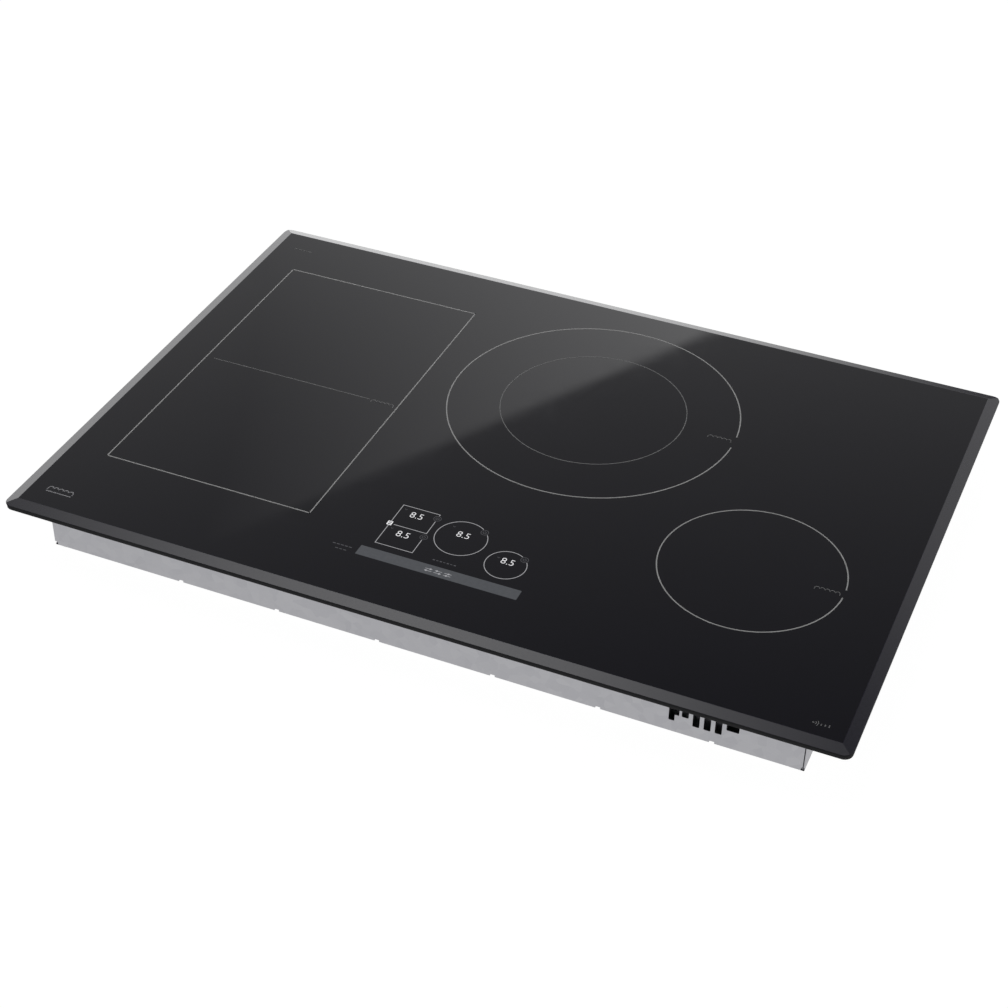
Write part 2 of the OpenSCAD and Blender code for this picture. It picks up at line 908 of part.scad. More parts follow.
glass_top();
rim_seal();
glass_adhesive();
support_frame();
burner_box();
conduit_plate();
rating_plate();
box_screws();
bracket_nuts();
coil_tray();
tray_posts();
coil_buffers();
coil_carrier_left_rear();
coil_carrier_left_front();
coil_carrier_centre();
coil_carrier_right();
winding_left_rear();
winding_left_front();
winding_centre_outer();
winding_centre_inner();
winding_right();
ferrite_bars();
mica_sheets();
insulation_pads();
temperature_sensors();
power_board_left();
power_board_right();
heat_sink_left();
heat_sink_right();
power_transistors();
bridge_rectifiers();
resonant_capacitors();
dc_chokes();
coil_connectors();
air_duct_left();
air_duct_right();
blower_housing_left();
blower_housing_right();
blower_lid_left();
blower_lid_right();
blower_motor_left();
blower_motor_right();
impeller_left();
impeller_right();
filter_board();
line_choke();
line_capacitors();
relays();
terminal_block();
board_standoffs();
control_tray();
touch_board();
digit_displays();
settings_light_guide();
display_film();
wireless_module();
ribbon_cable();
coil_leads();
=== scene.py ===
import json
import math

import bmesh
import bpy
from mathutils import Matrix, Vector

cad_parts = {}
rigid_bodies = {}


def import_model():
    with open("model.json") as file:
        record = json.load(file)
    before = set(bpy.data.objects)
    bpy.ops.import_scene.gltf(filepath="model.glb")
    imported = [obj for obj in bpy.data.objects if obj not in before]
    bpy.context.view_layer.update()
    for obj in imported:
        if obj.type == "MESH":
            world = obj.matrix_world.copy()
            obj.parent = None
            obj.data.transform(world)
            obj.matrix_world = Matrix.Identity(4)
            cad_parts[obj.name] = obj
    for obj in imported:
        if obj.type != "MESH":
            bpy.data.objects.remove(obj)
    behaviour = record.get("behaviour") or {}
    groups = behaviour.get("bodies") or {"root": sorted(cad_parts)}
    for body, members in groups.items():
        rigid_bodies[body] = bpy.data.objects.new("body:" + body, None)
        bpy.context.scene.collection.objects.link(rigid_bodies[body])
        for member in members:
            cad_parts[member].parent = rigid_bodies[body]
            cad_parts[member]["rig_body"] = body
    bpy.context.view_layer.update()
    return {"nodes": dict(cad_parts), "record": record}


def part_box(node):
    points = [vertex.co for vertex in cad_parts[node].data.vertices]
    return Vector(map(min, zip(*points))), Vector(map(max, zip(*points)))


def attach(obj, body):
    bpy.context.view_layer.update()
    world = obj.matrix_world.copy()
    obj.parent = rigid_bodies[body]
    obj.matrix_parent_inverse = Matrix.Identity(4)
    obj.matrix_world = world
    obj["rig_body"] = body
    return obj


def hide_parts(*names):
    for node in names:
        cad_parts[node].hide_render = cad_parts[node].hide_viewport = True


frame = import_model()
scene = bpy.context.scene
mm = 0.001

# settings that many nodes share
times, plus, timesPlus = {"operation": "MULTIPLY"}, {"operation": "ADD"}, {"operation": "MULTIPLY_ADD"}
exponent, largest = {"operation": "EXPONENT"}, {"operation": "MAXIMUM"}
dotProduct = {"operation": "DOT_PRODUCT"}
smoothly = {"interpolation_type": "SMOOTHSTEP"}
blendFloats, asPoint = {"data_type": "FLOAT"}, {"vector_type": "POINT"}


def hexColour(code):
    parts = [int(code[i:i + 2], 16) / 255 for i in (1, 3, 5)]
    return tuple(c / 12.92 if c <= 0.04045 else ((c + 0.055) / 1.055) ** 2.4 for c in parts) + (1.0,)


def addNode(tree, kind, settings=None, **links):
    node = tree.nodes.new("ShaderNode" + kind)
    for key, value in (settings or {}).items():
        setattr(node, key, value)
    for key, value in links.items():
        socket = node.inputs[int(key[1:]) if key[1:].isdigit() else key.replace("_", " ")]
        if isinstance(value, bpy.types.NodeSocket):
            tree.links.new(value, socket)
        else:
            socket.default_value = value
    return node


def setShader(shader, **values):
    for key, value in values.items():
        shader.inputs[key.replace("_", " ")].default_value = value


def setRamp(ramp, positions, colours):
    for stop, position, colour in zip(ramp.color_ramp.elements, positions, colours):
        stop.position, stop.color = position, hexColour(colour)


def placeAll(bm, matrix):
    bmesh.ops.transform(bm, matrix=matrix, verts=bm.verts)


# neighbouring faces that meet at a small angle, in degrees, and are about as wide belong to a curve
shadingSettings = {"curveAngles": (0.3, 13), "alike": (0.3, 3.3), "narrow": 0.5}


def finishPiece(name, bm, materials, body="cooktop", replaced=(), smoothAngle=35):
    bm.normal_update()
    for edge in bm.edges:
        edge.smooth = len(edge.link_faces) == 2 and edge.calc_face_angle(0) < math.radians(smoothAngle)
    widths = {face: face.calc_area() / max(e.calc_length() for e in face.edges) for face in bm.faces}
    least, most = shadingSettings["curveAngles"]
    thinner, wider = shadingSettings["alike"]
    for face in bm.faces:    # broad flat faces stay flat, narrow rounds and curved walls are smooth
        curved = False
        for edge in face.edges:
            if len(edge.link_faces) == 2 and least < math.degrees(edge.calc_face_angle(0)) < most:
                one, other = (widths[f] for f in edge.link_faces)
                curved = curved or thinner < one / max(other, 1e-9) < wider
        face.smooth = curved or widths[face] < shadingSettings["narrow"] * mm
    mesh = bpy.data.meshes.new(name)
    bm.to_mesh(mesh)
    bm.free()
    piece = bpy.data.objects.new(name, mesh)
    scene.collection.objects.link(piece)
    for material in materials:
        mesh.materials.append(material)
    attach(piece, body)
    if replaced:
        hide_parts(*replaced)


cameraSettings = {
    "lens": 71.287, "sensor": 36, "nearest": 0.05, "furthest": 60,
    "place": (0.56614, -1.38886, 1.14238),
    "right": (0.918013, 0.396344, 0.012785),
    "look": (-0.306084, 0.728713, -0.612609),
}


def makeCamera(s):
    data = bpy.data.cameras.new("studioCamera")
    data.lens, data.sensor_width = s["lens"], s["sensor"]
    data.clip_start, data.clip_end = s["nearest"], s["furthest"]
    camera = bpy.data.objects.new("studioCamera", data)
    scene.collection.objects.link(camera)
    back = -Vector(s["look"]).normalized()
    right = Vector(s["right"]).normalized()
    up = back.cross(right)
    turn = Matrix((right, up, back)).transposed().to_4x4()
    camera.matrix_world = Matrix.Translation(s["place"]) @ turn
    scene.camera = camera


makeCamera(cameraSettings)
print("camera set")

# The studio is a painted dome: x is to the right, y is ahead, and z is the sine of the elevation.
domeSettings = {
    "glowHeight": (-6.5875, 2.637),    # the glow is an exponent of height: its slope and its offset
    "glowSide": -0.5607,               # and it rises to the left
    "glowLowest": 0.35,                # below this height it rises no further
    "panelNormal": (-0.5735, 0.33389, -0.74808),    # the plane that cuts the large panel's straight edge
    "panelHeight": (-1.6473, 2.9089), "panelAcross": -1.6002, "panelLeast": -6.5594,
    "fades": {    # the axis, where each fade starts and ends along it, and its factor at the start and end
        "behind": ("y", -0.6, 0.2, 0.32, 1.0),
        "leftEnd": ("x", -0.96, -0.79, 0.16, 1.0),
        "under": ("z", -0.15, -0.05, 0.42, 1.0),
        "low": ("z", 0.12, 0.33, 1.0, 0.0),
        "ahead": ("y", 0.0, 0.3, 0.0, 1.0),
        "side": ("x", -0.29, -0.09, 1.6, 0.08),
        "far": ("x", -0.68, -0.45, 0.62, 1.0),
        "panelEdge": ("across", -0.003, 0.003, 0.0, 1.0),
        "panelStart": ("z", 0.40, 0.48, 0.0, 1.0),
        "cardTop": ("z", 0.575, 0.665, 0.6, 0.0),
        "cardLeft": ("x", 0.06, 0.16, 0.0, 1.0),
        "cardAhead": ("y", 0.35, 0.6, 0.0, 1.0),
    },
    # round softboxes, high at the back left and behind the camera: azimuth, elevation, tightness, strength
    "softboxes": [(-49.1, 64.2, 62.0, 2.8), (150, 35, 9.0, 0.78)],
}
floorSettings = {"size": 60.0, "seenGlow": 0.972, "seenDiffuse": 0.10, "bounceGlow": 0.62, "depth": 0.25}


def towards(azimuth, elevation):
    a, e = math.radians(azimuth), math.radians(elevation)
    return (math.sin(a) * math.cos(e), math.cos(a) * math.cos(e), math.sin(e))


def makeDome(s):
    world = bpy.data.worlds.new("studioDome")
    scene.world = world
    world.use_nodes = True
    tree = world.node_tree
    tree.nodes.clear()
    direction = addNode(tree, "TexCoord").outputs["Generated"]
    axes = addNode(tree, "SeparateXYZ", _0=direction).outputs
    across = addNode(tree, "VectorMath", dotProduct, _0=direction, _1=s["panelNormal"]).outputs["Value"]
    along = {"x": axes[0], "y": axes[1], "z": axes[2], "across": across}
    fades = {}
    for name, (axis, start, end, first, last) in s["fades"].items():
        fade = addNode(tree, "MapRange", smoothly, _0=along[axis], _1=start, _2=end, _3=first, _4=last)
        fades[name] = fade.outputs[0]

    # soft backdrop glow, brighter low down and to the left
    slope, offset = s["glowHeight"]
    height = addNode(tree, "Math", largest, _0=along["z"], _1=s["glowLowest"]).outputs[0]
    power = addNode(tree, "Math", timesPlus, _0=height, _1=slope, _2=offset).outputs[0]
    power = addNode(tree, "Math", timesPlus, _0=along["x"], _1=s["glowSide"], _2=power).outputs[0]
    glow = addNode(tree, "Math", exponent, _0=power).outputs[0]
    for name in ("behind", "leftEnd", "under"):
        glow = addNode(tree, "Math", times, _0=glow, _1=fades[name]).outputs[0]
    # low down and ahead the glow stops to the right of the middle
    low = addNode(tree, "Math", times, _0=fades["low"], _1=fades["ahead"]).outputs[0]
    side = addNode(tree, "Math", times, _0=fades["side"], _1=fades["far"]).outputs[0]
    factor = addNode(tree, "Mix", blendFloats, _0=low, _2=1.0, _3=side).outputs[0]
    total = addNode(tree, "Math", times, _0=glow, _1=factor).outputs[0]

    # a large panel with one straight edge, brightest beside that edge
    slope, offset = s["panelHeight"]
    power = addNode(tree, "Math", timesPlus, _0=along["z"], _1=slope, _2=offset).outputs[0]
    power = addNode(tree, "Math", timesPlus, _0=across, _1=s["panelAcross"], _2=power).outputs[0]
    panel = addNode(tree, "Math", exponent, _0=power).outputs[0]
    panel = addNode(tree, "Math", plus, _0=panel, _1=s["panelLeast"]).outputs[0]
    panel = addNode(tree, "Math", largest, _0=panel, _1=0.0).outputs[0]
    for name in ("panelEdge", "panelStart"):
        panel = addNode(tree, "Math", times, _0=panel, _1=fades[name]).outputs[0]
    total = addNode(tree, "Math", plus, _0=total, _1=panel).outputs[0]

    # a soft card ahead and to the right, below the height that the flat glass mirrors
    card = fades["cardTop"]
    for name in ("cardLeft", "cardAhead"):
        card = addNode(tree, "Math", times, _0=card, _1=fades[name]).outputs[0]
    total = addNode(tree, "Math", plus, _0=total, _1=card).outputs[0]

    for azimuth, elevation, tight, strength in s["softboxes"]:
        aim = towards(azimuth, elevation)
        near = addNode(tree, "VectorMath", dotProduct, _0=direction, _1=aim).outputs["Value"]
        power = addNode(tree, "Math", timesPlus, _0=near, _1=tight, _2=-tight).outputs[0]
        glow = addNode(tree, "Math", exponent, _0=power).outputs[0]
        total = addNode(tree, "Math", timesPlus, _0=glow, _1=strength, _2=total).outputs[0]

    surround = addNode(tree, "Background", Color=(1, 1, 1, 1), Strength=total)
    backdrop = addNode(tree, "Background", Color=(1, 1, 1, 1), Strength=1.0)
    seen = addNode(tree, "LightPath").outputs["Is Camera Ray"]
    both = addNode(tree, "MixShader", _0=seen, _1=surround.outputs[0], _2=backdrop.outputs[0])
    out = addNode(tree, "OutputWorld")
    tree.links.new(both.outputs[0], out.inputs["Surface"])


def clearFromBelow(material):
    # a view from under the paper passes through it, and so does all the light that such a view gathers
    tree = material.node_tree
    out = tree.nodes.get("Material Output")
    solid = out.inputs["Surface"].links[0].from_socket
    rear = addNode(tree, "NewGeometry").outputs["Backfacing"]
    passed = addNode(tree, "LightPath").outputs["Transparent Depth"]
    either = addNode(tree, "Math", {"operation": "ADD", "use_clamp": True}, _0=rear, _1=passed).outputs[0]
    clear = addNode(tree, "BsdfTransparent")
    shown = addNode(tree, "MixShader", _0=either, _1=solid, _2=clear.outputs[0])
    tree.links.new(shown.outputs[0], out.inputs["Surface"])


def makeFloor(s):
    bm = bmesh.new()
    down = Matrix.Translation((0, 0, -s["depth"] * mm))    # just clear of the box, so the two never flicker
    bmesh.ops.create_grid(bm, x_segments=1, y_segments=1, size=s["size"] / 2, matrix=down)
    mesh = bpy.data.meshes.new("studioFloor")
    bm.to_mesh(mesh)
    bm.free()
    floor = bpy.data.objects.new("studioFloor", mesh)
    scene.collection.objects.link(floor)
    # seamless white paper, lit so that only a faint contact shadow shows
    material = bpy.data.materials.new("whiteSweep")
    material.use_nodes = True
    tree = material.node_tree
    tree.nodes.clear()
    seenGlow = addNode(tree, "Emission", Color=(1, 1, 1, 1), Strength=s["seenGlow"])
    paper = addNode(tree, "BsdfDiffuse", Color=(s["seenDiffuse"],) * 3 + (1,))
    seenBoth = addNode(tree, "AddShader", _0=seenGlow.outputs[0], _1=paper.outputs[0])
    bounce = addNode(tree, "Emission", Color=(1, 1, 1, 1), Strength=s["bounceGlow"])
    seen = addNode(tree, "LightPath").outputs["Is Camera Ray"]
    both = addNode(tree, "MixShader", _0=seen, _1=bounce.outputs[0], _2=seenBoth.outputs[0])
    out = addNode(tree, "OutputMaterial")
    tree.links.new(both.outputs[0], out.inputs["Surface"])
    clearFromBelow(material)
    mesh.materials.append(material)


cardSettings = {"strip": 5, "corner": 12, "cornerInset": 0.05, "depth": 0.15, "layer": 0.01}


def makePaintedUnderShadow(s):
    # painted shadow: a near-black card on the paper under the box stands in for its shade, apart from a strip
    # inside the edge where the notches let light in
    low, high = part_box("burner_box")
    bm = bmesh.new()
    strip, corner, inset = s["strip"] * mm, s["corner"] * mm, s["cornerInset"] * mm
    spans = [(low.x + strip, high.x - strip, low.y + strip, high.y - strip)]
    for x, sx in ((low.x + inset, 1), (high.x - inset, -1)):
        for y, sy in ((low.y + inset, 1), (high.y - inset, -1)):
            spans.append((*sorted((x, x + sx * corner)), *sorted((y, y + sy * corner))))
    for i, (x0, x1, y0, y1) in enumerate(spans):    # each layer a hair above the last
        place = Matrix.Translation(((x0 + x1) / 2, (y0 + y1) / 2, (i * s["layer"] - s["depth"]) * mm))
        size = Matrix.Diagonal((x1 - x0, y1 - y0, 1, 1))
        bmesh.ops.create_grid(bm, x_segments=1, y_segments=1, size=0.5, matrix=place @ size)
    mesh = bpy.data.meshes.new("paintedShadowUnderBox")
    bm.to_mesh(mesh)
    bm.free()
    card = bpy.data.objects.new("paintedShadowUnderBox", mesh)
    scene.collection.objects.link(card)
    material = bpy.data.materials.new("paintedShadowPaper")
    material.use_nodes = True
    shader = material.node_tree.nodes["Principled BSDF"]
    # the near-black base colour is the painted shadow under the box
    setShader(shader, Base_Color=(0.004, 0.004, 0.004, 1), Roughness=1.0)
    clearFromBelow(material)
    mesh.materials.append(material)


makeDome(domeSettings)
makeFloor(floorSettings)
makePaintedUnderShadow(cardSettings)
scene.view_settings.view_transform = "Standard"
print("studio lit")


def newFinish(name):
    material = bpy.data.materials.new(name)
    material.use_nodes = True
    tree = material.node_tree
    tree.nodes.clear()
    shader = addNode(tree, "BsdfPrincipled")
    out = addNode(tree, "OutputMaterial")
    tree.links.new(shader.outputs[0], out.inputs["Surface"])
    place = addNode(tree, "TexCoord").outputs["Object"]
    return material, tree, shader, place


# Most of the finishes are one base colour broken up by a soft mottle, with its own roughness and grain.
# mottle and grain are the sizes in mm of its patches and its surface texture; stretch draws both out.
def plainFinish(
    name, dark, light, roughness, mottle=30.0, grain=0.6, depth=0.02, metal=0.0, ior=1.5, coat=0.0,
    stretch=(1, 1, 1),
):
    material, tree, shader, place = newFinish(name)
    drawn = addNode(tree, "Mapping", asPoint, Vector=place, Scale=stretch).outputs[0]
    patches = addNode(tree, "TexNoise", _0=drawn, Scale=1000 / mottle, Detail=4.0, Roughness=0.6).outputs[0]
    texture = addNode(tree, "TexNoise", _0=drawn, Scale=1000 / grain, Detail=2.0, Roughness=0.5).outputs[0]
    both = addNode(tree, "Mix", blendFloats, _0=0.35, _2=patches, _3=texture).outputs[0]
    tint = addNode(tree, "ValToRGB", _0=both)
    setRamp(tint, (0.35, 0.65), (dark, light))
    tree.links.new(tint.outputs[0], shader.inputs["Base Color"])
    rough = addNode(tree, "MapRange", _0=both, _1=0.35, _2=0.65, _3=roughness[0], _4=roughness[1])
    tree.links.new(rough.outputs[0], shader.inputs["Roughness"])
    bump = addNode(tree, "Bump", Strength=1.0, Distance=depth * mm, Height=texture)
    tree.links.new(bump.outputs[0], shader.inputs["Normal"])
    setShader(shader, Metallic=metal, IOR=ior)
    if coat:
        setShader(shader, Coat_Weight=coat, Coat_Roughness=0.08)
    return material


# Striped finishes: bands of a set pitch in mm across one direction, raised by depth.
def stripedFinish(name, dark, light, roughness, pitch, depth, direction="X", turn=0.0, metal=0.0, coat=0.0):
    material, tree, shader, place = newFinish(name)
    turned = addNode(tree, "Mapping", asPoint, Vector=place, Rotation=(0, 0, math.radians(turn))).outputs[0]
    bandScale = 2 * math.pi / (20 * pitch * mm)    # the wave node's own frequency is 20 to the unit
    bands = addNode(
        tree, "TexWave", {"bands_direction": direction}, _0=turned, Scale=bandScale, Distortion=0.3,
        Detail=1.0, Detail_Scale=0.5).outputs["Fac"]
    dirt = addNode(tree, "TexNoise", _0=place, Scale=1000 / 9, Detail=3.0).outputs[0]
    both = addNode(tree, "Mix", blendFloats, _0=0.3, _2=bands, _3=dirt).outputs[0]
    tint = addNode(tree, "ValToRGB", _0=both)
    setRamp(tint, (0.15, 0.75), (dark, light))
    tree.links.new(tint.outputs[0], shader.inputs["Base Color"])
    rough = addNode(tree, "MapRange", _0=both, _1=0.2, _2=0.8, _3=roughness[1], _4=roughness[0])
    tree.links.new(rough.outputs[0], shader.inputs["Roughness"])
    bump = addNode(tree, "Bump", Strength=1.0, Distance=depth * mm, Height=bands)
    tree.links.new(bump.outputs[0], shader.inputs["Normal"])
    setShader(shader, Metallic=metal, IOR=1.5)
    if coat:
        setShader(shader, Coat_Weight=coat, Coat_Roughness=0.1)
    return material


def boardFinish():
    # glass-epoxy board under green solder resist: tracks 1.2 mm wide, paler and raised, under a wet gloss
    material, tree, shader, place = newFinish("solderResistBoard")
    tracks = addNode(
        tree, "TexBrick", {"offset": 0.37, "squash": 1.6, "squash_frequency": 3}, Vector=place,
        Scale=1000 / 9, Mortar_Size=0.13, Mortar_Smooth=0.2, Brick_Width=1.3,
        Row_Height=0.42).outputs["Fac"]
    cloth = addNode(tree, "TexNoise", _0=place, Scale=1000 / 1.1, Detail=1.0).outputs[0]
    tint = addNode(tree, "ValToRGB", _0=tracks)
    setRamp(tint, (0.2, 0.8), ("#174a2c", "#2b7044"))
    tree.links.new(tint.outputs[0], shader.inputs["Base Color"])
    rough = addNode(tree, "MapRange", _0=cloth, _1=0.3, _2=0.7, _3=0.22, _4=0.34)
    tree.links.new(rough.outputs[0], shader.inputs["Roughness"])
    bump = addNode(tree, "Bump", Strength=1.0, Distance=0.035 * mm, Height=tracks)
    tree.links.new(bump.outputs[0], shader.inputs["Normal"])
    setShader(shader, IOR=1.5, Coat_Weight=0.5, Coat_Roughness=0.12)
    return material


def glassFinish():
    # black glass-ceramic, fire polished: near-black with deep, slightly uneven mirror reflections
    # and a trace of wiping marks
    material, tree, shader, place = newFinish("blackGlassCeramic")
    waves = addNode(tree, "TexNoise", _0=place, Scale=1000 / 160, Detail=1.0)
    wipes = addNode(tree, "TexNoise", _0=place, Scale=1000 / 45, Detail=5.0, Distortion=1.2)
    rough = addNode(tree, "MapRange", _0=wipes.outputs[0], _1=0.35, _2=0.75, _3=0.018, _4=0.045)
    tree.links.new(rough.outputs[0], shader.inputs["Roughness"])
    tint = addNode(tree, "ValToRGB", _0=wipes.outputs[0])
    setRamp(tint, (0.0, 1.0), ("#0c0b16", "#0f0e1a"))
    tree.links.new(tint.outputs[0], shader.inputs["Base Color"])
    bump = addNode(tree, "Bump", Strength=1.0, Distance=0.004 * mm, Height=waves.outputs[0])
    tree.links.new(bump.outputs[0], shader.inputs["Normal"])
    setShader(shader, IOR=1.5)
    return material


def groundEdgeFinish():
    # the same glass, ground and half polished: a satin grey sheen with very fine marks along the edge
    material, tree, shader, place = newFinish("groundGlassEdge")
    marks = addNode(tree, "TexNoise", _0=place, Scale=1000 / 1.5, Detail=3.0)
    rough = addNode(tree, "MapRange", _0=marks.outputs[0], _1=0.3, _2=0.7, _3=0.10, _4=0.15)
    tree.links.new(rough.outputs[0], shader.inputs["Roughness"])
    tint = addNode(tree, "ValToRGB", _0=marks.outputs[0])
    setRamp(tint, (0.0, 1.0), ("#24232c", "#2a2936"))
    tree.links.new(tint.outputs[0], shader.inputs["Base Color"])
    setShader(shader, IOR=1.5)
    return material


def galvanisedFinish():
    # hot-dip galvanised sheet, temper rolled: pale grey zinc with a faint spangle of 5 to 9 mm crystals
    material, tree, shader, place = newFinish("galvanisedSheet")
    crystals = addNode(tree, "TexVoronoi", {"feature": "F1"}, _0=place, Scale=1000 / 8, Randomness=1.0)
    grey = addNode(tree, "SeparateColor", _0=crystals.outputs["Color"]).outputs[0]
    cloud = addNode(tree, "TexNoise", _0=place, Scale=1000 / 40, Detail=5.0, Roughness=0.65).outputs[0]
    mixed = addNode(tree, "Mix", blendFloats, _0=0.45, _2=grey, _3=cloud).outputs[0]
    tint = addNode(tree, "ValToRGB", _0=mixed)
    setRamp(tint, (0.15, 0.85), ("#c6c6cb", "#d2d2d6"))
    tree.links.new(tint.outputs[0], shader.inputs["Base Color"])
    rough = addNode(tree, "MapRange", _0=mixed, _1=0.15, _2=0.85, _3=0.34, _4=0.46)
    tree.links.new(rough.outputs[0], shader.inputs["Roughness"])
    grain = addNode(tree, "TexNoise", _0=place, Scale=1000 / 0.9, Detail=2.0)
    bump = addNode(tree, "Bump", Strength=1.0, Distance=0.006 * mm, Height=grain.outputs[0])
    tree.links.new(bump.outputs[0], shader.inputs["Normal"])
    setShader(shader, Metallic=1.0)
    return material


def litFinish(name, colour, glow, roughness=0.03):
    # a lamp or lit film seen through the glass: its own light under the glass's own gloss
    material, tree, shader, place = newFinish(name)
    haze = addNode(tree, "TexNoise", _0=place, Scale=1000 / 3, Detail=2.0)
    strength = addNode(tree, "MapRange", _0=haze.outputs[0], _1=0.3, _2=0.7, _3=glow * 0.94, _4=glow * 1.06)
    tree.links.new(strength.outputs[0], shader.inputs["Emission Strength"])
    setShader(
        shader, Base_Color=hexColour("#08080a"), Emission_Color=hexColour(colour), Roughness=roughness,
        IOR=1.5)
    return material


glassCeramic = glassFinish()
groundEdge = groundEdgeFinish()
# the upright rim, left matt and dark
seamedEdge = plainFinish(
    "seamedGlassEdge", "#0b0b0e", "#101014", (0.45, 0.6), mottle=6, grain=0.5, depth=0.01, ior=1.25)
galvanised = galvanisedFinish()
# matt grey ceramic ink
enamel = plainFinish("firedEnamelPrint", "#a6a6a6", "#b6b6b6", (0.38, 0.5), mottle=12, grain=0.5, depth=0.004)
# the same, printed thinner
dimEnamel = plainFinish(
    "greyEnamelPrint", "#6c6c6e", "#787879", (0.38, 0.5), mottle=12, grain=0.5, depth=0.004)
# the lamps under the glass, from the brightest figures to the dim slate of the bar
litWhite = litFinish("litDigitWhite", "#f4f4f6", 0.9)
litLine = litFinish("litOutlineGrey", "#c9c9cc", 0.62)
litDim = litFinish("litIconGrey", "#8a8a90", 0.30)
litBar = litFinish("litBarSlate", "#4c4e52", 0.95)
barMark = litFinish("litBarMark", "#b4b4b8", 0.75)
# the brighter of the corner prints
enamelMark = plainFinish(
    "markEnamelPrint", "#86868a", "#98989c", (0.38, 0.5), mottle=12, grain=0.5, depth=0.004)
# thinnest print, seen only at a slant
faintEnamel = plainFinish(
    "faintEnamelPrint", "#3e3e40", "#48484a", (0.38, 0.5), mottle=12, grain=0.5, depth=0.004)

